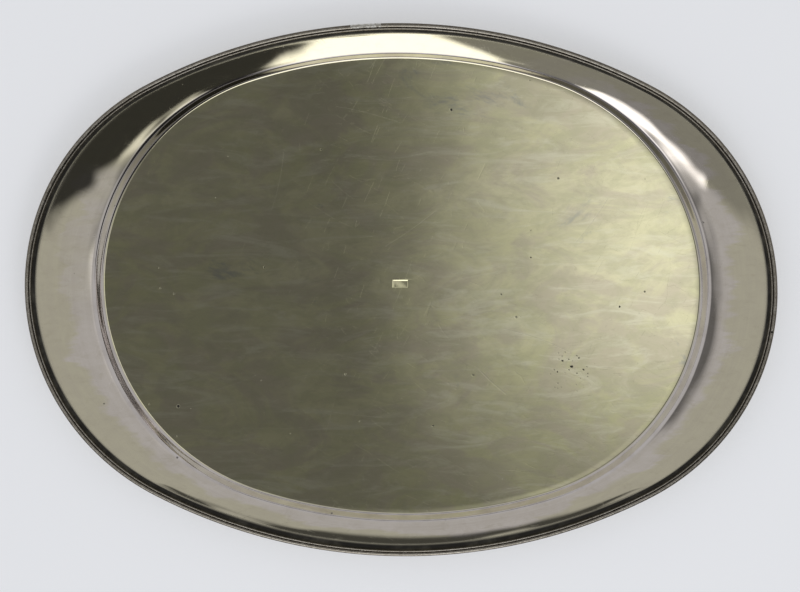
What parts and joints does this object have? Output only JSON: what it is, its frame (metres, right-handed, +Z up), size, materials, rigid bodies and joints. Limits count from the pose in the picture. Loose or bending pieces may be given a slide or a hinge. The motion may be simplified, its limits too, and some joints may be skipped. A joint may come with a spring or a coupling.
{
  "type": "oval silver salver",
  "caption": "Large oval silver serving tray with a sunk well, a wide dished border and a raised rim of hollow bead and thin thread.",
  "frame": {"origin": "middle of the flat underside of the well, on the surface the salver rests on", "axes": "+X along the length, towards the end with the vent hole; +Y across the width, towards the back; +Z up, out of the dish"},
  "size_m": [0.5, 0.36, 0.0201],
  "materials": {
    "raised_silver": "soft polish with fine scratches and light yellow tarnish",
    "rim_silver": "worn polish with small pits and tarnish in the grooves",
    "peg_silver": "drawn wire, bright",
    "solder": "dull hard solder, slightly rough"
  },
  "bodies": {
    "root": {"tray_body": "raised_silver", "rim_bead_right": "rim_silver", "rim_bead_back": "rim_silver", "rim_bead_left": "rim_silver", "rim_bead_front": "rim_silver", "rim_thread_right": "rim_silver", "rim_thread_back": "rim_silver", "rim_thread_left": "rim_silver", "rim_thread_front": "rim_silver", "rim_solder_right": "solder", "rim_solder_back": "solder", "rim_solder_left": "solder", "rim_solder_front": "solder", "joint_pegs": "peg_silver", "joint_solder": "solder", "rim_repair": "solder"}
  },
  "joints": []
}
